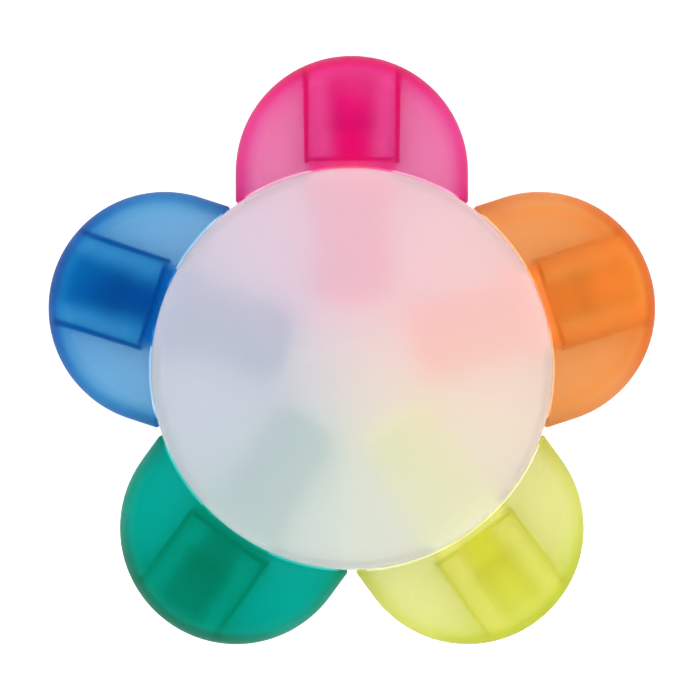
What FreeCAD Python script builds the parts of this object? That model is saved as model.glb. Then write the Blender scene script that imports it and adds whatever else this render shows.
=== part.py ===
"""Five-colour flower highlighter, in millimetres, +Z up.

A flat round hub of two frosted shells holds five short markers like spokes. Each marker's pull-off
cap is a hollow petal with a square channel inside that closes over the marker's square flange, and
a tube in that channel that seals round the marker's nose.

The origin is the centre of the rear shell's flat outer face. A marker's own frame has its origin on
the hub's axis at half the hub's height, with +X pointing outward along the marker.
"""

import FreeCAD, Part
import math
import os

import Sketcher

# Colour and bearing of each marker's axis, in degrees from +X about +Z.
MARKERS = {"pink": 90.0, "orange": 18.0, "yellow": 306.0, "green": 234.0, "blue": 162.0}

SIZES = {
    # The hub: two shells that meet at half its height.
    "hub_diameter": 59.6,
    "hub_height": 16.0,
    "hub_plate": 1.5,
    "hub_rim_wall": 1.4,
    "hub_edge_radius": 0.8,
    "hub_seam_chamfer": 0.25,
    "marker_count": 5,
    # The cap: a petal with parallel sides and a round tip.
    "cap_width": 34.6,
    "cap_reach": 46.6,
    "cap_height": 15.0,
    "cap_side_wall": 1.2,
    "cap_face_wall": 0.8,
    "cap_edge_radius": 3.8,
    "cap_gap": 0.3,
    "cap_lip_radius": 0.2,
    # How far the solid that hollows out the cap reaches back past the cap's mouth.
    "core_overrun": 10.0,
    # The cap's inner channel: square, with two straight walls that stand between thicker faces.
    "channel_width": 12.7,
    "channel_mouth_wall": 0.75,
    "channel_root_wall": 1.0,
    "channel_mouth_x": 30.5,
    "channel_lead_in": 0.25,
    # The sealing tube, from the cap's tip back to the marker's nose.
    "seal_bore": 7.0,
    "seal_wall": 0.5,
    "seal_mouth_x": 35.4,
    "seal_lead_in": 0.2,
    # The round barrel, from its closed rear end to the open front of its square neck.
    "barrel_diameter": 11.9,
    "barrel_rear_x": 9.5,
    "barrel_front_x": 30.8,
    "barrel_wall": 0.8,
    "barrel_rear_radius": 2.0,
    "neck_width": 12.1,
    "neck_corner_radius": 1.2,
    "ear_x": 26.0,
    "ear_length": 1.2,
    "ear_width": 14.6,
    "ear_height": 8.0,
    # The nib holder, pressed into the barrel's neck.
    "stem_length": 4.1,
    "stem_gap": 0.05,
    "flange_width": 12.6,
    "flange_length": 0.7,
    "flange_corner_radius": 1.4,
    "flange_chamfer": 0.2,
    "nose_diameter": 6.9,
    "nose_length": 5.6,
    "nose_edge_radius": 0.4,
    "vent_width": 1.0,
    "vent_height": 4.4,
    # The chisel nib.
    "nib_width": 5.0,
    "nib_thickness": 3.2,
    "nib_slot_gap": 0.05,
    "nib_toe_x": 42.6,
    "nib_heel_x": 39.9,
    "nib_back_x": 28.0,
    "nib_edge_radius": 0.6,
    "nib_bevel": 1.0,
    "nib_tail_diameter": 3.0,
    "nib_tail_length": 4.2,
    "nib_tail_chamfer": 0.9,
    # The ink filler and its film sleeve.
    "filler_diameter": 9.7,
    "filler_length": 15.8,
    "filler_end_gap": 0.3,
    "filler_hole_diameter": 3.1,
    "filler_hole_depth": 3.3,
    "film_gap": 0.04,
    "film_wall": 0.12,
    # The saddles and snap clips that hold the barrels in the rear shell.
    "saddle_gap": 0.1,
    "saddle_y": 24.5,
    "clip_y": 13.6,
    "rib_thickness": 1.3,
    "saddle_width": 15.6,
    "clip_width": 15.0,
    "clip_rise": 2.6,
    # The square gates in the hub's rim that the necks pass through.
    "gate_gap": 0.1,
    "gate_start_y": 27.0,
    # The rear shell's tongue and the front shell's rebate, which join the two.
    "tongue_thickness": 0.6,
    "tongue_height": 1.5,
    "tongue_chamfer": 0.2,
    "tongue_gap": 0.05,
}

FULL_TURN = 360.0
FLIP = 180.0
TOLERANCE = 1e-4


def derive(sizes):
    """Adds the values that follow from the driving sizes, so that each has a cell of its own."""
    s = dict(sizes)
    s["hub_radius"] = s["hub_diameter"] / 2
    s["hub_half"] = s["hub_height"] / 2
    s["hub_inner_radius"] = s["hub_radius"] - s["hub_rim_wall"]
    s["shell_depth"] = s["hub_half"] - s["hub_plate"]
    s["cap_half_width"] = s["cap_width"] / 2
    s["cap_tip_centre_x"] = s["cap_reach"] - s["cap_half_width"]
    s["cap_mouth_radius"] = s["hub_radius"] + s["cap_gap"]
    s["core_half_width"] = s["cap_half_width"] - s["cap_side_wall"]
    s["core_height"] = s["cap_height"] - 2 * s["cap_face_wall"]
    s["core_edge_radius"] = s["cap_edge_radius"] - s["cap_face_wall"]
    s["core_back_x"] = s["hub_radius"] - s["core_overrun"]
    s["channel_half_width"] = s["channel_width"] / 2
    s["channel_mouth_y"] = s["channel_half_width"] + s["channel_mouth_wall"]
    s["channel_root_y"] = s["channel_half_width"] + s["channel_root_wall"]
    s["channel_lead_y"] = s["channel_half_width"] + s["channel_lead_in"]
    s["channel_lead_x"] = s["channel_mouth_x"] + s["channel_lead_in"]
    s["core_half_height"] = s["core_height"] / 2
    s["seal_inner_radius"] = s["seal_bore"] / 2
    s["seal_outer_radius"] = s["seal_inner_radius"] + s["seal_wall"]
    s["seal_lead_radius"] = s["seal_inner_radius"] + s["seal_lead_in"]
    s["seal_lead_x"] = s["seal_mouth_x"] + s["seal_lead_in"]
    s["barrel_radius"] = s["barrel_diameter"] / 2
    s["bore_radius"] = s["barrel_radius"] - s["barrel_wall"]
    s["bore_length"] = s["barrel_front_x"] - s["barrel_rear_x"] - s["barrel_wall"]
    s["neck_half_width"] = s["neck_width"] / 2
    s["neck_back_x"] = s["ear_x"] + s["ear_length"]
    s["neck_length"] = s["barrel_front_x"] - s["neck_back_x"]
    s["ear_half_width"] = s["ear_width"] / 2
    s["ear_half_height"] = s["ear_height"] / 2
    s["stem_back_x"] = s["barrel_front_x"] - s["stem_length"]
    s["stem_radius"] = s["bore_radius"] - s["stem_gap"]
    s["flange_half_width"] = s["flange_width"] / 2
    s["flange_front_x"] = s["barrel_front_x"] + s["flange_length"]
    s["nose_radius"] = s["nose_diameter"] / 2
    s["nose_front_x"] = s["flange_front_x"] + s["nose_length"]
    s["holder_length"] = s["nose_front_x"] - s["stem_back_x"]
    s["slot_half_width"] = s["nib_width"] / 2 + s["nib_slot_gap"]
    s["slot_half_height"] = s["nib_thickness"] / 2 + s["nib_slot_gap"]
    s["vent_half_width"] = s["vent_width"] / 2
    s["vent_half_height"] = s["vent_height"] / 2
    s["nib_half_width"] = s["nib_width"] / 2
    s["nib_tail_radius"] = s["nib_tail_diameter"] / 2
    s["filler_back_x"] = s["barrel_rear_x"] + s["barrel_wall"] + s["filler_end_gap"]
    s["filler_front_x"] = s["filler_back_x"] + s["filler_length"]
    s["filler_radius"] = s["filler_diameter"] / 2
    s["filler_hole_radius"] = s["filler_hole_diameter"] / 2
    s["filler_hole_x"] = s["filler_front_x"] - s["filler_hole_depth"]
    s["film_inner_radius"] = s["filler_radius"] + s["film_gap"]
    s["film_outer_radius"] = s["film_inner_radius"] + s["film_wall"]
    s["saddle_radius"] = s["barrel_radius"] + s["saddle_gap"]
    s["saddle_end_y"] = s["saddle_y"] + s["rib_thickness"]
    s["saddle_half_width"] = s["saddle_width"] / 2
    s["clip_end_y"] = s["clip_y"] + s["rib_thickness"]
    s["clip_half_width"] = s["clip_width"] / 2
    s["clip_height"] = s["shell_depth"] + s["clip_rise"]
    s["notch_start_y"] = s["clip_y"] - s["rib_thickness"]
    s["notch_length"] = s["hub_radius"]
    s["gate_half_width"] = s["neck_half_width"] + s["gate_gap"]
    s["gate_low"] = s["hub_half"] - s["gate_half_width"]
    s["gate_high"] = s["hub_half"] + s["gate_half_width"]
    s["tongue_radius"] = s["hub_inner_radius"] + s["tongue_thickness"]
    s["rebate_radius"] = s["tongue_radius"] + s["tongue_gap"]
    s["rebate_depth"] = s["tongue_height"] + s["tongue_gap"]
    return s


S = derive(SIZES)


def add_sheet(doc):
    """Writes every size to a spreadsheet cell with its name as the alias."""
    sheet = doc.addObject("Spreadsheet::Sheet", "Sizes")
    for row, (name, size) in enumerate(S.items(), start=1):
        sheet.set(f"A{row}", name)
        sheet.set(f"B{row}", repr(round(size, 6)))
        sheet.setAlias(f"B{row}", name)
    doc.recompute()


def value(name):
    """The size that a name, with an optional minus sign, stands for; 0 stands for itself."""
    if name == 0:
        return 0.0
    return -S[name[1:]] if name.startswith("-") else S[name]


def bind(obj, path, name):
    """Drives one property or constraint of obj from the sheet."""
    sign = "-" if name.startswith("-") else ""
    obj.setExpression(path, f"{sign}Sizes.{name.lstrip('-')}")


# Sketch helpers


def new_sketch(body, name, plane, offset=None):
    """A sketch on one of the body's origin planes, moved along its normal by a named size."""
    sketch = body.newObject("Sketcher::SketchObject", name)
    support = next(f for f in body.Origin.OriginFeatures if f.Role == plane)
    sketch.AttachmentSupport = [(support, "")]
    sketch.MapMode = "FlatFace"
    if offset:
        bind(sketch, "AttachmentOffset.Base.z", offset)
    return sketch


def dimension(sketch, kind, places, name):
    """A dimensional constraint whose value is driven by the sheet."""
    index = sketch.addConstraint(Sketcher.Constraint(kind, *places, value(name)))
    bind(sketch, f"Constraints[{index}]", name)


def locate(sketch, geometry, point, x, y):
    """Holds one point of a sketch's geometry at the named x and y; 0 keeps it on that axis."""
    if x == 0 and y == 0:
        sketch.addConstraint(Sketcher.Constraint("Coincident", geometry, point, -1, 1))
        return
    if x == 0:
        sketch.addConstraint(Sketcher.Constraint("PointOnObject", geometry, point, -2))
    else:
        dimension(sketch, "DistanceX", (-1, 1, geometry, point), x)
    if y == 0:
        sketch.addConstraint(Sketcher.Constraint("PointOnObject", geometry, point, -1))
    else:
        dimension(sketch, "DistanceY", (-1, 1, geometry, point), y)


def polygon(sketch, corners):
    """A closed outline of straight lines through corners given as pairs of named sizes."""
    points = [FreeCAD.Vector(value(x), value(y), 0) for x, y in corners]
    first = sketch.GeometryCount
    count = len(points)
    for start, end in zip(points, points[1:] + points[:1]):
        sketch.addGeometry(Part.LineSegment(start, end), False)
    for i in range(count):
        following = first + (i + 1) % count
        sketch.addConstraint(Sketcher.Constraint("Coincident", first + i, 2, following, 1))
    for i, (x, y) in enumerate(corners):
        locate(sketch, first + i, 1, x, y)


def rectangle(sketch, left, right, low, high):
    """A rectangle between named sizes."""
    polygon(sketch, [(left, low), (right, low), (right, high), (left, high)])


def circle(sketch, radius, x=0, y=0):
    """A circle of a named radius about a named centre."""
    centre = FreeCAD.Vector(value(x), value(y), 0)
    up = FreeCAD.Vector(0, 0, 1)
    index = sketch.addGeometry(Part.Circle(centre, up, value(radius)), False)
    dimension(sketch, "Radius", (index,), radius)
    locate(sketch, index, 3, x, y)


def petal_outline(sketch, half_width, back_x=None, mouth_radius=None):
    """Two parallel sides and a half-round tip. The back is an arc about the hub's axis if
    mouth_radius is named, else a straight line at back_x."""
    w = value(half_width)
    tip_x = value("cap_tip_centre_x")
    up = FreeCAD.Vector(0, 0, 1)
    x0 = math.sqrt(value(mouth_radius) ** 2 - w**2) if mouth_radius else value(back_x)
    back_low = FreeCAD.Vector(x0, -w, 0)
    back_high = FreeCAD.Vector(x0, w, 0)
    tip_low = FreeCAD.Vector(tip_x, -w, 0)
    tip_high = FreeCAD.Vector(tip_x, w, 0)
    right = sketch.addGeometry(Part.LineSegment(back_low, tip_low), False)
    tip = Part.Circle(FreeCAD.Vector(tip_x, 0, 0), up, w)
    tip = sketch.addGeometry(Part.ArcOfCircle(tip, -math.pi / 2, math.pi / 2), False)
    left = sketch.addGeometry(Part.LineSegment(tip_high, back_high), False)
    if mouth_radius:
        half_angle = math.asin(w / value(mouth_radius))
        back = Part.Circle(FreeCAD.Vector(0, 0, 0), up, value(mouth_radius))
        back = sketch.addGeometry(Part.ArcOfCircle(back, -half_angle, half_angle), False)
        dimension(sketch, "Radius", (back,), mouth_radius)
        locate(sketch, back, 3, 0, 0)
    else:
        back = sketch.addGeometry(Part.LineSegment(back_low, back_high), False)
        sketch.addConstraint(Sketcher.Constraint("Vertical", back))
        dimension(sketch, "DistanceX", (-1, 1, back, 1), back_x)
    sketch.addConstraint(Sketcher.Constraint("Horizontal", right))
    sketch.addConstraint(Sketcher.Constraint("Horizontal", left))
    sketch.addConstraint(Sketcher.Constraint("Tangent", right, 2, tip, 1))
    sketch.addConstraint(Sketcher.Constraint("Tangent", tip, 2, left, 1))
    sketch.addConstraint(Sketcher.Constraint("Coincident", back, 1, right, 1))
    sketch.addConstraint(Sketcher.Constraint("Coincident", back, 2, left, 2))
    dimension(sketch, "Radius", (tip,), half_width)
    locate(sketch, tip, 3, "cap_tip_centre_x", 0)


# Feature helpers


def settle(feature, grows):
    """Recomputes, and stops if the feature failed or did not add or remove material."""
    body = feature.getParentGeoFeatureGroup()
    feature.Document.recompute()
    before = feature.BaseFeature.Shape.Volume if feature.BaseFeature else 0.0
    change = feature.Shape.Volume - before
    if "Invalid" in feature.State or (change > 0) != grows or abs(change) < TOLERANCE:
        raise RuntimeError(f"{body.Label}: {feature.Name} changed the volume by {change}")
    return feature


def pad(sketch, length, symmetric=False, backwards=False):
    feature = sketch.getParentGeoFeatureGroup().newObject("PartDesign::Pad", "Pad")
    feature.Profile = sketch
    if symmetric:
        feature.SideType = "Symmetric"
    feature.Reversed = backwards
    bind(feature, "Length", length)
    return settle(feature, grows=True)


def pocket(sketch, length, symmetric=False):
    """Cuts against the sketch's normal, or half each way."""
    feature = sketch.getParentGeoFeatureGroup().newObject("PartDesign::Pocket", "Pocket")
    feature.Profile = sketch
    if symmetric:
        feature.SideType = "Symmetric"
    bind(feature, "Length", length)
    return settle(feature, grows=False)


def revolve(sketch, kind="Revolution"):
    """Turns a half section about the sketch's horizontal axis, as a Revolution or a Groove."""
    feature = sketch.getParentGeoFeatureGroup().newObject(f"PartDesign::{kind}", kind)
    feature.Profile = sketch
    feature.ReferenceAxis = (sketch, ["H_Axis"])
    feature.Angle = FULL_TURN
    return settle(feature, grows=kind == "Revolution")


def around_hub(feature, grows):
    """Repeats a feature once for each marker about the hub's axis."""
    body = feature.getParentGeoFeatureGroup()
    pattern = body.newObject("PartDesign::PolarPattern", "PolarPattern")
    pattern.Originals = [feature]
    axis = next(f for f in body.Origin.OriginFeatures if f.Role == "Z_Axis")
    pattern.Axis = (axis, [""])
    pattern.Angle = FULL_TURN
    bind(pattern, "Occurrences", "marker_count")
    body.Tip = pattern
    return settle(pattern, grows)


def edges_where(feature, test):
    """Names of the feature's edges for which test is true."""
    edges = feature.Shape.Edges
    return [f"Edge{i}" for i, edge in enumerate(edges, start=1) if test(edge)]


def dress(feature, kind, size_property, edges, size):
    """Fillets or chamfers the named edges of a feature."""
    body = feature.getParentGeoFeatureGroup()
    if not edges:
        raise RuntimeError(f"{body.Label}: no edges to {kind.lower()}")
    finish = body.newObject(f"PartDesign::{kind}", kind)
    finish.Base = (feature, edges)
    bind(finish, size_property, size)
    return settle(finish, grows=False)


def fillet(feature, edges, radius):
    return dress(feature, "Fillet", "Radius", edges, radius)


def chamfer(feature, edges, size):
    return dress(feature, "Chamfer", "Size", edges, size)


def near(a, b):
    return abs(a - b) < TOLERANCE


def is_corner(edge, half_width):
    """True for an edge along X at a corner of a square section centred on the X axis."""
    ends = [v.Point for v in edge.Vertexes]
    if len(ends) != 2 or near(ends[0].x, ends[1].x):
        return False
    return all(near(abs(p.y), half_width) and near(abs(p.z), half_width) for p in ends)


def is_ring(edge, radius, x=None, z=None):
    """True for a full circle of that radius at the given x or z."""
    curve = edge.Curve
    if not isinstance(curve, Part.Circle) or not near(curve.Radius, radius):
        return False
    if len(edge.Vertexes) != 1:
        return False
    return (x is None or near(curve.Center.x, x)) and (z is None or near(curve.Center.z, z))


# The markers, each piece in the marker's own frame


def in_cap_mouth(point):
    """True if a point lies on the cap's mouth, an arc about the hub's axis."""
    return near(math.hypot(point.x, point.y), S["cap_mouth_radius"])


def make_cap_core(doc, colour):
    """The hollow of a cap: the petal's inside less the channel's walls and faces and the tube."""
    body = doc.addObject("PartDesign::Body", f"CapCore_{colour}")
    outline = new_sketch(body, "CoreOutline", "XY_Plane")
    petal_outline(outline, "core_half_width", back_x="core_back_x")
    core = pad(outline, "core_height", symmetric=True)
    level = S["core_half_height"]

    def on_rim(edge):
        ends = [v.Point for v in edge.Vertexes]
        flat = all(near(abs(p.z), level) for p in ends)
        return flat and not all(near(p.x, S["core_back_x"]) for p in ends)

    fillet(core, edges_where(core, on_rim), "core_edge_radius")
    walls = new_sketch(body, "ChannelWalls", "XY_Plane")
    for side in ("", "-"):
        polygon(
            walls,
            [
                ("channel_mouth_x", f"{side}channel_lead_y"),
                ("channel_lead_x", f"{side}channel_half_width"),
                ("cap_reach", f"{side}channel_half_width"),
                ("cap_reach", f"{side}channel_root_y"),
                ("channel_mouth_x", f"{side}channel_mouth_y"),
            ],
        )
    pocket(walls, "core_height", symmetric=True)
    faces = new_sketch(body, "ChannelFaces", "XZ_Plane")
    for side in ("", "-"):
        rectangle(
            faces,
            "channel_mouth_x",
            "cap_reach",
            f"{side}channel_half_width",
            f"{side}core_half_height",
        )
    pocket(faces, "channel_width", symmetric=True)
    tube = new_sketch(body, "SealTube", "XZ_Plane")
    polygon(
        tube,
        [
            ("seal_mouth_x", "seal_lead_radius"),
            ("seal_lead_x", "seal_inner_radius"),
            ("cap_reach", "seal_inner_radius"),
            ("cap_reach", "seal_outer_radius"),
            ("seal_mouth_x", "seal_outer_radius"),
        ],
    )
    revolve(tube, "Groove")
    return body


def make_cap(doc, colour):
    """A petal-shaped cap, open towards the hub, with its square channel and tube inside."""
    body = doc.addObject("PartDesign::Body", f"Cap_{colour}")
    outline = new_sketch(body, "CapOutline", "XY_Plane")
    petal_outline(outline, "cap_half_width", mouth_radius="cap_mouth_radius")
    solid = pad(outline, "cap_height", symmetric=True)
    level = S["cap_height"] / 2

    def on_rim(edge):
        ends = [v.Point for v in edge.Vertexes]
        flat = all(near(abs(p.z), level) for p in ends)
        return flat and not all(in_cap_mouth(p) for p in ends)

    solid = fillet(solid, edges_where(solid, on_rim), "cap_edge_radius")
    hollow = body.newObject("PartDesign::Boolean", "Boolean")
    hollow.Type = "Cut"
    hollow.setObjects([make_cap_core(doc, colour)])
    body.Tip = hollow
    settle(hollow, grows=False)

    def on_lip(edge):
        """The outer edge of the mouth, where the cap meets the hub."""
        ends = [v.Point for v in edge.Vertexes]
        middle = edge.valueAt((edge.FirstParameter + edge.LastParameter) / 2)
        outside = abs(middle.z) > S["core_half_height"] + TOLERANCE
        outside = outside or abs(middle.y) > S["core_half_width"] + TOLERANCE
        return outside and all(in_cap_mouth(p) for p in ends + [middle])

    fillet(hollow, edges_where(hollow, on_lip), "cap_lip_radius")
    return body


def make_barrel(doc, colour):
    """The ink barrel: round and closed at the hub's centre, square where it leaves the hub, with
    two ears that the hub's rim holds back."""
    body = doc.addObject("PartDesign::Body", f"Barrel_{colour}")
    section = new_sketch(body, "BarrelSection", "XZ_Plane")
    rectangle(section, "barrel_rear_x", "neck_back_x", 0, "barrel_radius")
    solid = revolve(section)
    outer = S["barrel_radius"]
    rear = S["barrel_rear_x"]
    fillet(solid, edges_where(solid, lambda e: is_ring(e, outer, x=rear)), "barrel_rear_radius")
    ears = new_sketch(body, "Ears", "YZ_Plane", "ear_x")
    rectangle(ears, "-ear_half_width", "ear_half_width", "-ear_half_height", "ear_half_height")
    pad(ears, "ear_length")
    neck = new_sketch(body, "Neck", "YZ_Plane", "neck_back_x")
    rectangle(neck, "-neck_half_width", "neck_half_width", "-neck_half_width", "neck_half_width")
    solid = pad(neck, "neck_length")
    half = S["neck_half_width"]
    fillet(solid, edges_where(solid, lambda e: is_corner(e, half)), "neck_corner_radius")
    bore = new_sketch(body, "Bore", "YZ_Plane", "barrel_front_x")
    circle(bore, "bore_radius")
    pocket(bore, "bore_length")
    return body


def make_nib_holder(doc, colour):
    """The front section: a stem in the barrel, a square flange on its end that the cap closes
    over, and a round nose with a slot for the nib and an air vent above and below it."""
    body = doc.addObject("PartDesign::Body", f"NibHolder_{colour}")
    section = new_sketch(body, "HolderSection", "XZ_Plane")
    polygon(
        section,
        [
            ("stem_back_x", 0),
            ("stem_back_x", "stem_radius"),
            ("barrel_front_x", "stem_radius"),
            ("barrel_front_x", "nose_radius"),
            ("nose_front_x", "nose_radius"),
            ("nose_front_x", 0),
        ],
    )
    solid = revolve(section)
    nose = S["nose_radius"]
    front = S["nose_front_x"]
    fillet(solid, edges_where(solid, lambda e: is_ring(e, nose, x=front)), "nose_edge_radius")
    flange = new_sketch(body, "Flange", "YZ_Plane", "barrel_front_x")
    rectangle(
        flange,
        "-flange_half_width",
        "flange_half_width",
        "-flange_half_width",
        "flange_half_width",
    )
    solid = pad(flange, "flange_length")
    half = S["flange_half_width"]
    solid = fillet(solid, edges_where(solid, lambda e: is_corner(e, half)), "flange_corner_radius")

    def on_flange_front(edge):
        """The outline of the flange's front face."""
        ends = [v.Point for v in edge.Vertexes]
        ahead = all(near(p.x, S["flange_front_x"]) for p in ends)
        return ahead and all(math.hypot(p.y, p.z) > S["nose_radius"] + TOLERANCE for p in ends)

    chamfer(solid, edges_where(solid, on_flange_front), "flange_chamfer")
    slot = new_sketch(body, "NibSlot", "YZ_Plane", "nose_front_x")
    rectangle(slot, "-slot_half_width", "slot_half_width", "-slot_half_height", "slot_half_height")
    pocket(slot, "holder_length")
    vent = new_sketch(body, "Vent", "YZ_Plane", "nose_front_x")
    rectangle(vent, "-vent_half_width", "vent_half_width", "-vent_half_height", "vent_half_height")
    pocket(vent, "holder_length")
    return body


def make_nib(doc, colour):
    """The felt nib: a flat bar with a slanted, bevelled chisel end and a pointed round tail."""
    body = doc.addObject("PartDesign::Body", f"Nib_{colour}")
    outline = new_sketch(body, "NibOutline", "XY_Plane")
    polygon(
        outline,
        [
            ("nib_back_x", "-nib_half_width"),
            ("nib_heel_x", "-nib_half_width"),
            ("nib_toe_x", "nib_half_width"),
            ("nib_back_x", "nib_half_width"),
        ],
    )
    bar = pad(outline, "nib_thickness", symmetric=True)
    half = S["nib_thickness"] / 2

    def on_slant(edge):
        a, b = [v.Point for v in edge.Vertexes]
        return near(abs(a.z), half) and near(a.z, b.z) and not near(a.x, b.x) and not near(a.y, b.y)

    def is_long(edge):
        ends = [v.Point for v in edge.Vertexes]
        return len(ends) == 2 and near(ends[0].y, ends[1].y) and near(ends[0].z, ends[1].z)

    bar = chamfer(bar, edges_where(bar, on_slant), "nib_bevel")
    fillet(bar, edges_where(bar, is_long), "nib_edge_radius")
    tail = new_sketch(body, "Tail", "YZ_Plane", "nib_back_x")
    circle(tail, "nib_tail_radius")
    tail = pad(tail, "nib_tail_length", backwards=True)
    radius = S["nib_tail_radius"]
    end = S["nib_back_x"] - S["nib_tail_length"]
    chamfer(tail, edges_where(tail, lambda e: is_ring(e, radius, x=end)), "nib_tail_chamfer")
    return body


def make_filler(doc, colour):
    """The fibre rod that holds the ink, pierced at its front by the nib's tail."""
    body = doc.addObject("PartDesign::Body", f"Filler_{colour}")
    section = new_sketch(body, "FillerSection", "XZ_Plane")
    polygon(
        section,
        [
            ("filler_back_x", 0),
            ("filler_back_x", "filler_radius"),
            ("filler_front_x", "filler_radius"),
            ("filler_front_x", "filler_hole_radius"),
            ("filler_hole_x", "filler_hole_radius"),
            ("filler_hole_x", 0),
        ],
    )
    revolve(section)
    return body


def make_film(doc, colour):
    """The thin plastic sleeve wrapped round the fibre rod."""
    body = doc.addObject("PartDesign::Body", f"Film_{colour}")
    section = new_sketch(body, "FilmSection", "XZ_Plane")
    rectangle(section, "filler_back_x", "filler_front_x", "film_inner_radius", "film_outer_radius")
    revolve(section)
    return body


# The hub's shells, each drawn open side up with its outer face on the XY plane


def make_dish(doc, name):
    """The plate and rim that both shells start from."""
    body = doc.addObject("PartDesign::Body", name)
    disc = new_sketch(body, "Disc", "XY_Plane")
    circle(disc, "hub_radius")
    solid = pad(disc, "hub_half")
    outer = S["hub_radius"]
    seam = S["hub_half"]
    solid = fillet(solid, edges_where(solid, lambda e: is_ring(e, outer, z=0)), "hub_edge_radius")
    chamfer(solid, edges_where(solid, lambda e: is_ring(e, outer, z=seam)), "hub_seam_chamfer")
    inside = new_sketch(body, "Inside", "XY_Plane", "hub_half")
    circle(inside, "hub_inner_radius")
    pocket(inside, "shell_depth")
    return body


def cut_seats(body):
    """Cuts half-round seats for the five barrels through the rim and whatever stands inside it,
    and square gates for their necks through the rim."""
    notch = new_sketch(body, "Notch", "XZ_Plane", "-notch_start_y")
    circle(notch, "saddle_radius", 0, "hub_half")
    around_hub(pocket(notch, "notch_length"), grows=False)
    gate = new_sketch(body, "Gate", "XZ_Plane", "-gate_start_y")
    rectangle(gate, "-gate_half_width", "gate_half_width", "gate_low", "gate_high")
    around_hub(pocket(gate, "notch_length"), grows=False)


def make_rear_shell(doc):
    """The shell that holds the barrels: a saddle and a snap clip for each, and a tongue round
    the rim that enters the front shell."""
    body = make_dish(doc, "RearShell")
    tongue = new_sketch(body, "Tongue", "XY_Plane", "hub_half")
    circle(tongue, "hub_inner_radius")
    circle(tongue, "tongue_radius")
    solid = pad(tongue, "tongue_height")
    outer = S["tongue_radius"]
    top = S["hub_half"] + S["tongue_height"]
    chamfer(solid, edges_where(solid, lambda e: is_ring(e, outer, z=top)), "tongue_chamfer")
    for rib, height in (("saddle", "shell_depth"), ("clip", "clip_height")):
        sketch = new_sketch(body, rib, "XY_Plane", "hub_plate")
        rectangle(sketch, f"-{rib}_half_width", f"{rib}_half_width", f"{rib}_y", f"{rib}_end_y")
        around_hub(pad(sketch, height), grows=True)
    cut_seats(body)
    return body


def make_front_shell(doc):
    """The plain shell, with a rebate inside its rim for the rear shell's tongue."""
    body = make_dish(doc, "FrontShell")
    rebate = new_sketch(body, "Rebate", "XY_Plane", "hub_half")
    circle(rebate, "rebate_radius")
    pocket(rebate, "rebate_depth")
    cut_seats(body)
    return body


# The assembly

MARKER_PIECES = {
    "cap": make_cap,
    "barrel": make_barrel,
    "nib_holder": make_nib_holder,
    "nib": make_nib,
    "ink_filler": make_filler,
    "filler_film": make_film,
}


def place_marker_piece(body, bearing):
    """Turns a piece from its marker's frame to its bearing, at half the hub's height."""
    turn = FreeCAD.Rotation(FreeCAD.Vector(0, 0, 1), bearing)
    body.Placement = FreeCAD.Placement(FreeCAD.Vector(0, 0, S["hub_half"]), turn)
    bind(body, "Placement.Base.z", "hub_half")


def build():
    doc = FreeCAD.newDocument("flower_highlighter")
    add_sheet(doc)
    rear = make_rear_shell(doc)
    rear.Label = "rear_shell"
    front = make_front_shell(doc)
    front.Label = "front_shell"
    over = FreeCAD.Rotation(FreeCAD.Vector(0, 1, 0), FLIP)
    front.Placement = FreeCAD.Placement(FreeCAD.Vector(0, 0, S["hub_height"]), over)
    bind(front, "Placement.Base.z", "hub_height")
    pieces = [rear, front]
    for colour, bearing in MARKERS.items():
        for kind, make in MARKER_PIECES.items():
            body = make(doc, colour)
            body.Label = f"{kind}_{colour}"
            place_marker_piece(body, bearing)
            pieces.append(body)
    doc.recompute()
    return doc, pieces


def check(doc, pieces):
    """Stops if any object failed, or a piece isn't one valid closed solid."""
    for obj in doc.Objects:
        if "Invalid" in obj.State or "Error" in obj.State:
            raise RuntimeError(f"{obj.Label} failed: {obj.State}")
    for piece in pieces:
        shape = piece.Shape
        if shape.isNull() or not shape.isValid() or len(shape.Solids) != 1:
            raise RuntimeError(f"{piece.Label} isn't one valid solid")


def main():
    doc, pieces = build()
    check(doc, pieces)
    os.makedirs("parts", exist_ok=True)
    for piece in pieces:
        piece.Shape.exportStep(f"parts/{piece.Label}.step")
        print(f"{piece.Label:22s} {piece.Shape.Volume:9.1f} mm3")


main()
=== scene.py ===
"""Looks for the flower highlighter: frosted and tinted plastics, felt, fibre and film on the CAD
pieces, a pale table, soft studio light and the camera. Metres, +Z up.

Highlighter dyes are fluorescent. Here each dyed plastic and fibre gives off a little painted light
of its own colour instead, called its glow below, which shines under any lamp or none and is set
stronger or weaker by place on the caps and barrels. A tint multiplies the light that a surface
lets through.
"""

import math

import bpy
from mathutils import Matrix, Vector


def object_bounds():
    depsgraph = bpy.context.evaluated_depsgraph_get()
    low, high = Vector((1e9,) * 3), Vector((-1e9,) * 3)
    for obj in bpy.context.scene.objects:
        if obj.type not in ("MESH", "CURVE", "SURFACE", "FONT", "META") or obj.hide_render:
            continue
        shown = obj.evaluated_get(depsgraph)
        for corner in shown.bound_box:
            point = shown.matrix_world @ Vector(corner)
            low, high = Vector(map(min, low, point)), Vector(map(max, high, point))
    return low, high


MM = 0.001
WHITE = (1.0, 1.0, 1.0, 1.0)

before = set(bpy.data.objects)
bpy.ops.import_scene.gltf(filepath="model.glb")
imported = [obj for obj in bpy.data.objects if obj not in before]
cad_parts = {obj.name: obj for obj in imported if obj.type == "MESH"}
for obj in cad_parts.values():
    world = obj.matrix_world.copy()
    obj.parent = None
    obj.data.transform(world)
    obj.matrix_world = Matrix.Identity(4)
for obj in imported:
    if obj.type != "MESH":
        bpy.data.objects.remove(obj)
cad_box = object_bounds()
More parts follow.
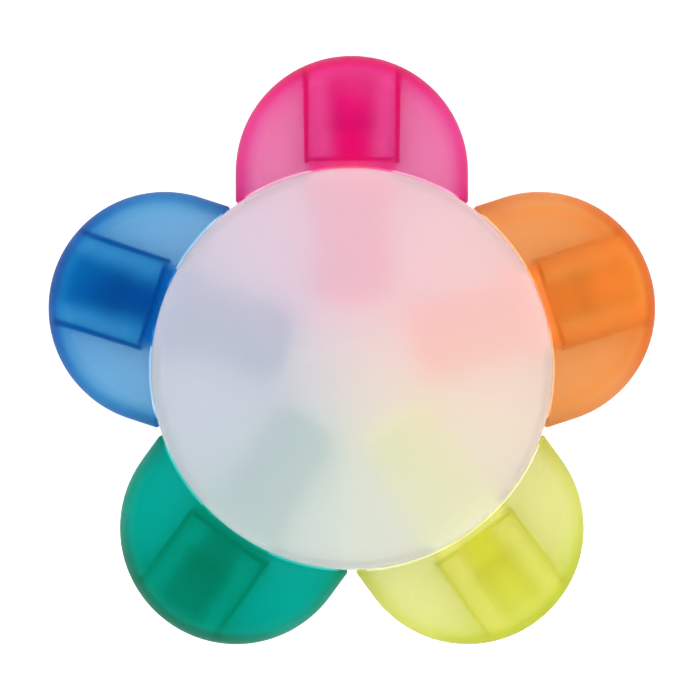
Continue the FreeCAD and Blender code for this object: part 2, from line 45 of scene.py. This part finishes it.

# Each colour's own numbers:
# bearing: of the marker's axis, in degrees from +X about +Z.
# per_mm: what the plastic takes away per millimetre of depth.
# ink: the colour of the felt and the fibre, and of the plastics' shine.
# cap: the cap's tint, which is multiplied by the next five.
# rim, tip: painted shade along the petal's outline, and there once more
# at the round tip.
# painted_ring_tone: painted light and shade just inside the outline, mostly lighter.
# channel, painted_strip_tone: painted shade between the two straight walls inside, and
# painted light and shade over the sealing tube.
# cap_glow, strip_glow: the cap's glow of painted light over its panels, and over the sealing tube.
# barrel: the tint of the barrel and of the nib holder.
# barrel_glow, neck_glow: the barrel's glow of painted light inside the hub, and outside it.
# holder_glow, felt_glow: the glow of painted light of the nib holder, and of the nib and the
# filler.
COLOURS = {
    "pink": {
        "bearing": 90.0,
        "per_mm": (0.0, 0.444, 0.105),
        "ink": (0.98, 0.06, 0.42),
        "cap": (0.868, 0.753, 0.748),
        "rim": (1.0, 0.54, 0.78),
        "tip": (0.97, 0.33, 0.68),
        "painted_ring_tone": (1.04, 1.21, 1.09),
        "channel": (1.0, 0.775, 0.95),
        "painted_strip_tone": (1.0, 1.3, 1.06),
        "cap_glow": (0.009, 0.0, 0.006),
        "strip_glow": (0.049, 0.0, 0.015),
        "barrel": (0.955, 0.65, 0.726),
        "barrel_glow": (0.2, 0.0, 0.05),
        "neck_glow": (0.14, 0.06, 0.09),
        "holder_glow": (0.05, 0.0, 0.02),
        "felt_glow": (0.44, 0.0, 0.15),
    },
    "orange": {
        "bearing": 18.0,
        "per_mm": (0.0, 0.045, 0.11),
        "ink": (0.98, 0.30, 0.16),
        "cap": (0.883, 0.618, 0.402),
        "rim": (0.97, 0.76, 0.54),
        "tip": (0.96, 0.66, 0.21),
        "painted_ring_tone": (1.05, 1.02, 0.92),
        "channel": (1.0, 0.88, 0.70),
        "painted_strip_tone": (1.0, 1.18, 1.55),
        "cap_glow": (0.012, 0.016, 0.005),
        "strip_glow": (0.060, 0.038, 0.006),
        "barrel": (0.965, 0.635, 0.38),
        "barrel_glow": (0.26, 0.03, 0.02),
        "neck_glow": (0.20, 0.11, 0.06),
        "holder_glow": (0.02, 0.02, 0.0),
        "felt_glow": (0.46, 0.24, 0.08),
    },
    "yellow": {
        "bearing": 306.0,
        "per_mm": (0.006, 0.003, 0.092),
        "ink": (0.88, 0.92, 0.20),
        "cap": (0.855, 0.863, 0.65),
        "rim": (0.92, 0.94, 0.58),
        "tip": (0.85, 0.89, 0.31),
        "painted_ring_tone": (1.05, 1.05, 1.17),
        "channel": (1.0, 0.985, 0.85),
        "painted_strip_tone": (1.0, 1.0, 1.18),
        "cap_glow": (0.014, 0.011, 0.0),
        "strip_glow": (0.050, 0.053, 0.004),
        "barrel": (0.905, 0.905, 0.60),
        "barrel_glow": (0.19, 0.2, 0.0),
        "neck_glow": (0.16, 0.16, 0.15),
        "holder_glow": (0.06, 0.05, 0.0),
        "felt_glow": (0.34, 0.34, 0.08),
    },
    "green": {
        "bearing": 234.0,
        "per_mm": (1.2, 0.042, 0.072),
        "ink": (0.02, 0.62, 0.42),
        "cap": (0.10, 0.649, 0.636),
        "rim": (0.30, 0.74, 0.68),
        "tip": (0.10, 0.68, 0.57),
        "painted_ring_tone": (1.0, 1.06, 1.08),
        "channel": (1.0, 0.98, 0.95),
        "painted_strip_tone": (1.0, 1.04, 1.07),
        "cap_glow": (0.0, 0.017, 0.007),
        "strip_glow": (0.0, 0.027, 0.013),
        "barrel": (0.10, 0.645, 0.618),
        "barrel_glow": (0.0, 0.06, 0.05),
        "neck_glow": (0.0, 0.085, 0.07),
        "holder_glow": (0.0, 0.045, 0.03),
        "felt_glow": (0.0, 0.15, 0.14),
    },
    "blue": {
        "bearing": 162.0,
        "per_mm": (0.45, 0.136, 0.052),
        "ink": (0.04, 0.28, 0.72),
        "cap": (0.70, 0.789, 0.888),
        "rim": (0.38, 0.70, 0.89),
        "tip": (0.234, 0.65, 0.865),
        "painted_ring_tone": (1.28, 1.15, 1.07),
        "channel": (0.72, 0.96, 1.0),
        "painted_strip_tone": (0.5, 0.9, 0.93),
        "cap_glow": (0.0, 0.001, 0.004),
        "strip_glow": (0.0, 0.010, 0.024),
        "barrel": (0.59, 0.74, 0.905),
        "barrel_glow": (0.0, 0.02, 0.09),
        "neck_glow": (0.0, 0.035, 0.09),
        "holder_glow": (0.0, 0.015, 0.045),
        "felt_glow": (0.0, 0.03, 0.08),
    },
}

# A petal: its half width, the distance from the hub's axis to the centre of its round tip, and how
# far in from its outline the painted shade along it starts and is full, and the painted light and
# shade just inside it starts, is full, fades and ends.
PETAL_HALF = 17.3 * MM
TIP_CENTRE = 29.3 * MM
RIM_START = 2.1 * MM
RIM_FULL = 1.0 * MM
RING_START = 4.3 * MM
RING_FULL = 2.9 * MM
RING_FADE = 2.6 * MM
RING_END = 1.6 * MM
# How far past the round tip's centre its painted shade starts and is full, and what that painted
# shade leaves of the glow.
TIP_START = 7.0 * MM
TIP_FULL = 15.0 * MM
TIP_DIM = (0.2, 0.2, 0.2)
# Distances from the marker's axis at which the painted shade between the two straight walls starts
# and is full, the painted light and shade over the sealing tube and its glow start, and both are
# full.
CHANNEL_START = 6.7 * MM
CHANNEL_FULL = 6.4 * MM
STRIP_START = 5.5 * MM
GLOW_START = 8.4 * MM
STRIP_FULL = 3.0 * MM
# The radii between which a barrel's glow changes, where it leaves the hub.
HUB_INSIDE = 28.6 * MM
HUB_OUTSIDE = 29.6 * MM

# The frosted shell: its tint, and the painted red light that stands for the light it scatters, at
# the middle and at bearings round the hub, where the tint is painted too, for the barrels' coloured
# light.
SHELL_TINT = (0.97, 0.93, 0.92)
MIDDLE_LIGHT = 0.05
PAINTED_BARREL_LIGHT = {
    -162: ((0.865, 0.905, 0.965), 0.0),
    -126: ((0.88, 0.95, 0.965), 0.0),
    -90: ((0.95, 0.975, 0.935), 0.0),
    -54: ((0.96, 0.975, 0.91), 0.4),
    -18: ((0.975, 0.965, 0.885), 0.8),
    18: ((0.975, 0.93, 0.90), 0.9),
    54: ((0.975, 0.885, 0.91), 1.0),
    90: ((0.97, 0.89, 0.94), 0.55),
    126: ((0.97, 0.89, 0.97), 0.15),
    162: ((0.90, 0.925, 0.97), 0.0),
}
# The radius at which the bearing's own painted tint is full, the radii between which painted light
# brightens the shell's outer edge, and by how much.
PAINTED_BARREL_LIGHT_FULL = 13.0 * MM
BRIGHT_START = 27.8 * MM
BRIGHT_FULL = 28.6 * MM
BRIGHT = 0.6
# The strength of the shell's painted scattered light, and how much of it lets light through.
SCATTER = 0.033
SHELL_SEE = 0.55
FULL_TURN = 360.0

# Each surface: its mean roughness, how far the roughness strays from that, the scale of its grain
# in features per metre, and the strength of its relief.
SHELL_ROUGH, SHELL_STRAY, SHELL_SAND, SHELL_RELIEF = 0.65, 0.03, 9000.0, 0.2
CAP_ROUGH, BARREL_ROUGH, PLASTIC_STRAY, PLASTIC_SAND, PLASTIC_RELIEF = 0.6, 0.3, 0.02, 7000.0, 0.1
FELT_ROUGH, FELT_GRAIN = 0.85, 6000.0
FILLER_ROUGH, FILLER_GRAIN = 0.8, 5000.0
FIBRE_STRAY, FIBRE_RELIEF = 0.06, 0.5
FILM_ROUGH, FILM_STRAY, FILM_CREASES, FILM_RELIEF = 0.2, 0.06, 3000.0, 0.5
# The wider patches in which the roughness of the shell and of the tinted plastic strays.
SHELL_PATCHES = 900.0
PLASTIC_PATCHES = 700.0
# A noise's detail, and the two values between which nearly all of it lies.
NOISE_DETAIL = 4.0
NOISE_LOW = 0.3
NOISE_HIGH = 0.7
SAND_DEPTH = 0.01 * MM
FIBRE_DEPTH = 0.06 * MM
# How much of its scale a fibre's grain keeps in each direction, the first along the marker, and how
# much of the ink's colour its dark streaks have.
FIBRE_STRETCH = (0.12, 1.0, 1.0)
STREAK = 0.75
IOR = 1.45
CLEAR = (0.98, 0.98, 0.98, 1.0)
DULL = (0.735, 0.735, 0.735, 1.0)
# Absorption is given as a density and a colour. The density is a little more than what the plastic
# takes away most, so that no part of the colour is 0.
DENSITY_ROOM = 1.02

# The table: its size, how far it lies below the highlighter, its colour, roughness and own light.
TABLE_SIZE = 6.0
TABLE_GAP = 0.02 * MM
TABLE_COLOUR = (0.85, 0.85, 0.85, 1.0)
TABLE_ROUGH = 0.8
TABLE_LIGHT = 0.75
# The light from all round: it is full up to the first height of its direction, on a sphere of
# radius 1, and dim above the second.
FULL_UP_TO = 0.60
DIM_ABOVE = 0.90
FULL_LIGHT = 1.0
DIM_LIGHT = 0.9

# The camera: its distance above the highlighter, how many times the highlighter's width it sees,
# how far it stands towards -X, its sensor's width in millimetres, and its near and far limits.
CAMERA_DISTANCE = 0.9
CAMERA_MARGIN = 1.148
CAMERA_SHIFT = 0.28 * MM
SENSOR_WIDTH = 36.0
CLIP_START = 0.01
CLIP_END = 20.0


def node(tree, kind, **inputs):
    """A shader node with its sockets set: a number or colour, or another node's output."""
    made = tree.nodes.new(kind)
    for name, value in inputs.items():
        put(tree, made.inputs[name.replace("_", " ")], value)
    return made


def put(tree, socket, value):
    if isinstance(value, bpy.types.NodeSocket):
        tree.links.new(value, socket)
    else:
        socket.default_value = value


def rgba(colour):
    return (*colour, 1.0)


def maths(tree, operation, one, two=0.0):
    made = tree.nodes.new("ShaderNodeMath")
    made.operation = operation
    put(tree, made.inputs[0], one)
    put(tree, made.inputs[1], two)
    return made.outputs["Value"]


def length(tree, x, y):
    flat = node(tree, "ShaderNodeCombineXYZ", X=x, Y=y)
    made = node(tree, "ShaderNodeVectorMath", Vector=flat.outputs["Vector"])
    made.operation = "LENGTH"
    return made.outputs["Value"]


def rise(tree, value, start, full, smooth=True, top=1.0):
    """0 where the value is at its start, going to the top where it is full."""
    made = node(
        tree, "ShaderNodeMapRange", Value=value, From_Min=start, From_Max=full, To_Max=top
    )
    made.interpolation_type = "SMOOTHSTEP" if smooth else "LINEAR"
    return made.outputs["Result"]


def mixed(tree, kind, factor, one, two):
    """Two colours mixed, multiplied or added, by a factor."""
    blend = tree.nodes.new("ShaderNodeMix")
    blend.data_type = "RGBA"
    blend.blend_type = kind
    # The node has sockets of the same name for each type of data. These are the colours'.
    factor_socket, one_socket, two_socket = blend.inputs[0], blend.inputs[6], blend.inputs[7]
    put(tree, factor_socket, factor)
    put(tree, one_socket, one)
    put(tree, two_socket, two)
    return blend.outputs[2]


def place(tree):
    return tree.nodes.new("ShaderNodeTexCoord").outputs["Object"]


def along_marker(tree, bearing):
    """The piece's own coordinates, turned so that X runs along the marker at that bearing."""
    turn = (0.0, 0.0, -math.radians(bearing))
    return node(tree, "ShaderNodeMapping", Vector=place(tree), Rotation=turn).outputs["Vector"]


def grain(tree, scale, where=None):
    """Noise in the piece's own coordinates, its scale in features per metre."""
    where = where or place(tree)
    return node(tree, "ShaderNodeTexNoise", Vector=where, Scale=scale, Detail=NOISE_DETAIL)


def spread(tree, noise, middle, half):
    """Numbers that a noise spreads by half either side of the middle."""
    made = node(
        tree,
        "ShaderNodeMapRange",
        Value=noise.outputs["Fac"],
        From_Min=NOISE_LOW,
        From_Max=NOISE_HIGH,
        To_Min=middle - half,
        To_Max=middle + half,
    )
    return made.outputs["Result"]


def relief(tree, noise, depth, strength):
    """The normal of a surface that a noise makes uneven."""
    made = node(
        tree, "ShaderNodeBump", Height=noise.outputs["Fac"], Distance=depth, Strength=strength
    )
    return made.outputs["Normal"]


def blank(name):
    """A new material with its tree and its output."""
    material = bpy.data.materials.new(name)
    material.use_nodes = True
    tree = material.node_tree
    tree.nodes.clear()
    return material, tree, tree.nodes.new("ShaderNodeOutputMaterial")


def coat(tree, output, **inputs):
    """The one shader of a material."""
    shader = node(tree, "ShaderNodeBsdfPrincipled", **inputs)
    tree.links.new(shader.outputs["BSDF"], output.inputs["Surface"])


def absorb(tree, output, per_mm):
    """Fills the inside with absorption given per millimetre."""
    density = max(per_mm) * DENSITY_ROOM / MM
    inside = node(
        tree,
        "ShaderNodeVolumeAbsorption",
        Color=rgba([1.0 - a / MM / density for a in per_mm]),
        Density=density,
    )
    tree.links.new(inside.outputs["Volume"], output.inputs["Volume"])


def sectors(tree, around, colours):
    """Colours blended round the hub's axis, from a table of bearing and colour.

    The place on the ramp is 0 at a bearing of -180 degrees and 1 at 180, which is the same line, so
    both ends have the colour halfway between the table's last and first.
    """
    ramp = node(tree, "ShaderNodeValToRGB", Fac=around)
    bearings = sorted(colours)
    first, last = colours[bearings[0]], colours[bearings[-1]]
    seam = [(a + b) / 2 for a, b in zip(first, last)]
    elements = ramp.color_ramp.elements
    elements[0].position, elements[0].color = 0.0, rgba(seam)
    elements[1].position, elements[1].color = 1.0, rgba(seam)
    for bearing in bearings:
        elements.new(bearing / FULL_TURN + 0.5).color = rgba(colours[bearing])
    return ramp.outputs["Color"]


def frosted(name):
    """Milky polypropylene, fine sand texture, with painted tint and light for the barrels inside.
    """
    material, tree, output = blank(name)
    normal = relief(tree, grain(tree, SHELL_SAND), SAND_DEPTH, SHELL_RELIEF)
    around = node(tree, "ShaderNodeTexGradient", Vector=place(tree))
    around.gradient_type = "RADIAL"
    turn = around.outputs["Fac"]
    parts = node(tree, "ShaderNodeSeparateXYZ", Vector=place(tree))
    radius = length(tree, parts.outputs["X"], parts.outputs["Y"])
    # Painted tint and painted red light by bearing for the barrels' light, and painted light on the
    # edge.
    away = rise(tree, radius, 0.0, PAINTED_BARREL_LIGHT_FULL, smooth=False)
    rim = rise(tree, radius, BRIGHT_START, BRIGHT_FULL, smooth=False, top=BRIGHT)
    tint = sectors(tree, turn, {bearing: row[0] for bearing, row in PAINTED_BARREL_LIGHT.items()})
    light = sectors(tree, turn, {bearing: (row[1], 0.0, 0.0) for bearing, row in PAINTED_BARREL_LIGHT.items()})
    light = mixed(tree, "MIX", away, rgba((MIDDLE_LIGHT, 0.0, 0.0)), light)
    light = mixed(tree, "ADD", rim, light, WHITE)
    coat(
        tree,
        output,
        Base_Color=mixed(tree, "MIX", away, rgba(SHELL_TINT), tint),
        Roughness=spread(tree, grain(tree, SHELL_PATCHES), SHELL_ROUGH, SHELL_STRAY),
        IOR=IOR,
        Transmission_Weight=SHELL_SEE,
        Emission_Color=light,
        Emission_Strength=SCATTER,
        Normal=normal,
    )
    return material


def cap_look(tree, look):
    """A cap's tint and glow by the place on the petal, with painted shade and painted light."""
    parts = node(tree, "ShaderNodeSeparateXYZ", Vector=along_marker(tree, look["bearing"]))
    ahead = maths(tree, "MAXIMUM", maths(tree, "SUBTRACT", parts.outputs["X"], TIP_CENTRE))
    aside = maths(tree, "ABSOLUTE", parts.outputs["Y"])
    outward = length(tree, ahead, aside)
    # Painted shade along the outline and more at the round tip, painted light and shade just
    # inside.
    rim = rise(tree, outward, PETAL_HALF - RIM_START, PETAL_HALF - RIM_FULL)
    inside = rise(tree, outward, PETAL_HALF - RING_START, PETAL_HALF - RING_FULL)
    outside = rise(tree, outward, PETAL_HALF - RING_END, PETAL_HALF - RING_FADE)
    painted_ring_tone = maths(tree, "MULTIPLY", inside, outside)
    tip = maths(tree, "MULTIPLY", rim, rise(tree, ahead, TIP_START, TIP_FULL))
    # Painted light and shade over the sealing tube, painted shade between the two straight walls.
    painted_strip_tone = rise(tree, aside, STRIP_START, STRIP_FULL)
    channel = rise(tree, aside, CHANNEL_START, CHANNEL_FULL, smooth=False)
    tint = mixed(tree, "MULTIPLY", rim, rgba(look["cap"]), rgba(look["rim"]))
    tint = mixed(tree, "MULTIPLY", painted_ring_tone, tint, rgba(look["painted_ring_tone"]))
    tint = mixed(tree, "MULTIPLY", tip, tint, rgba(look["tip"]))
    tint = mixed(tree, "MULTIPLY", painted_strip_tone, tint, rgba(look["painted_strip_tone"]))
    tint = mixed(tree, "MULTIPLY", channel, tint, rgba(look["channel"]))
    # The glow is painted light, stronger over the sealing tube and dimmed at the round tip.
    near = rise(tree, aside, GLOW_START, STRIP_FULL)
    glow = mixed(tree, "MIX", near, rgba(look["cap_glow"]), rgba(look["strip_glow"]))
    glow = mixed(tree, "MULTIPLY", tip, glow, rgba(TIP_DIM))
    return tint, glow


def barrel_look(tree, look):
    """A barrel's tint and painted glow, which changes where its neck stands outside the hub."""
    parts = node(tree, "ShaderNodeSeparateXYZ", Vector=place(tree))
    radius = length(tree, parts.outputs["X"], parts.outputs["Y"])
    outside = rise(tree, radius, HUB_INSIDE, HUB_OUTSIDE, smooth=False)
    glow = mixed(tree, "MIX", outside, rgba(look["barrel_glow"]), rgba(look["neck_glow"]))
    return rgba(look["barrel"]), glow


def holder_look(tree, look):
    return rgba(look["barrel"]), rgba(look["holder_glow"])


def tinted(name, look, roughness, tint_and_glow):
    """Clear-tinted polypropylene: satin skin, colour by depth."""
    material, tree, output = blank(name)
    normal = relief(tree, grain(tree, PLASTIC_SAND), SAND_DEPTH, PLASTIC_RELIEF)
    tint, glow = tint_and_glow(tree, look)
    coat(
        tree,
        output,
        Base_Color=tint,
        Specular_Tint=rgba(look["ink"]),
        Roughness=spread(tree, grain(tree, PLASTIC_PATCHES), roughness, PLASTIC_STRAY),
        IOR=IOR,
        Transmission_Weight=1.0,
        Normal=normal,
        # The glow is painted light, which shines under any lamp or none.
        Emission_Color=glow,
        Emission_Strength=1.0,
    )
    absorb(tree, output, look["per_mm"])
    return material


def fibrous(name, look, roughness, scale):
    """Bonded fibre soaked with ink, its grain drawn out along the marker."""
    material, tree, output = blank(name)
    fibres = node(
        tree, "ShaderNodeMapping", Vector=along_marker(tree, look["bearing"]), Scale=FIBRE_STRETCH
    )
    noise = grain(tree, scale, where=fibres.outputs["Vector"])
    normal = relief(tree, noise, FIBRE_DEPTH, FIBRE_RELIEF)
    darker = [STREAK * part for part in look["ink"]]
    coat(
        tree,
        output,
        Base_Color=mixed(tree, "MIX", noise.outputs["Fac"], rgba(darker), rgba(look["ink"])),
        Roughness=spread(tree, noise, roughness, FIBRE_STRAY),
        Normal=normal,
        # The glow is painted light of the ink's colour, for its fluorescence.
        Emission_Color=rgba(look["felt_glow"]),
        Emission_Strength=1.0,
    )
    return material


def clear_film():
    """Thin clear film, glossy, with faint creases."""
    material, tree, output = blank("clear_film")
    noise = grain(tree, FILM_CREASES)
    normal = relief(tree, noise, SAND_DEPTH, FILM_RELIEF)
    coat(
        tree,
        output,
        Base_Color=mixed(tree, "MIX", noise.outputs["Fac"], DULL, CLEAR),
        Roughness=spread(tree, noise, FILM_ROUGH, FILM_STRAY),
        Normal=normal,
        Transmission_Weight=1.0,
    )
    return material


def dress(piece, material):
    """Gives every material slot of a CAD piece this material."""
    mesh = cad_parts[piece].data
    if not mesh.materials:
        mesh.materials.append(material)
    for index in range(len(mesh.materials)):
        mesh.materials[index] = material


def dress_pieces():
    shell = frosted("frosted_shell")
    dress("front_shell", shell)
    dress("rear_shell", shell)
    film = clear_film()
    for colour, look in COLOURS.items():
        dress(f"cap_{colour}", tinted(f"cap_{colour}", look, CAP_ROUGH, cap_look))
        dress(f"barrel_{colour}", tinted(f"barrel_{colour}", look, BARREL_ROUGH, barrel_look))
        holder = tinted(f"holder_{colour}", look, BARREL_ROUGH, holder_look)
        dress(f"nib_holder_{colour}", holder)
        dress(f"nib_{colour}", fibrous(f"felt_{colour}", look, FELT_ROUGH, FELT_GRAIN))
        filler = fibrous(f"fibre_{colour}", look, FILLER_ROUGH, FILLER_GRAIN)
        dress(f"ink_filler_{colour}", filler)
        dress(f"filler_film_{colour}", film)


def make_table():
    """A plain pale table, softly lit from inside, just under the highlighter."""
    bpy.ops.mesh.primitive_plane_add(size=TABLE_SIZE, location=(0.0, 0.0, -TABLE_GAP))
    table = bpy.context.object
    table.name = "table"
    material, tree, output = blank("table")
    coat(
        tree,
        output,
        Base_Color=TABLE_COLOUR,
        Roughness=TABLE_ROUGH,
        Emission_Color=WHITE,
        Emission_Strength=TABLE_LIGHT,
    )
    table.data.materials.append(material)


def make_lights():
    """Soft light from all round, a little dimmer from the ceiling."""
    world = bpy.data.worlds.new("studio")
    bpy.context.scene.world = world
    world.use_nodes = True
    tree = world.node_tree
    direction = tree.nodes.new("ShaderNodeTexCoord").outputs["Generated"]
    height = node(tree, "ShaderNodeSeparateXYZ", Vector=direction).outputs["Z"]
    strength = node(
        tree,
        "ShaderNodeMapRange",
        Value=height,
        From_Min=FULL_UP_TO,
        From_Max=DIM_ABOVE,
        To_Min=FULL_LIGHT,
        To_Max=DIM_LIGHT,
    )
    background = tree.nodes["Background"]
    background.inputs["Color"].default_value = WHITE
    tree.links.new(strength.outputs["Result"], background.inputs["Strength"])
    bpy.context.scene.view_settings.view_transform = "Standard"


def make_camera():
    """Straight above the flower, far away, so that it sees almost no perspective."""
    low, high = cad_box
    middle = (low + high) / 2
    data = bpy.data.cameras.new("camera")
    data.sensor_width = SENSOR_WIDTH
    data.lens = SENSOR_WIDTH * CAMERA_DISTANCE / (CAMERA_MARGIN * (high.x - low.x))
    data.clip_start = CLIP_START
    data.clip_end = CLIP_END
    camera = bpy.data.objects.new("camera", data)
    bpy.context.scene.collection.objects.link(camera)
    camera.location = (middle.x - CAMERA_SHIFT, middle.y, high.z + CAMERA_DISTANCE)
    bpy.context.scene.camera = camera


dress_pieces()
make_table()
make_lights()
make_camera()
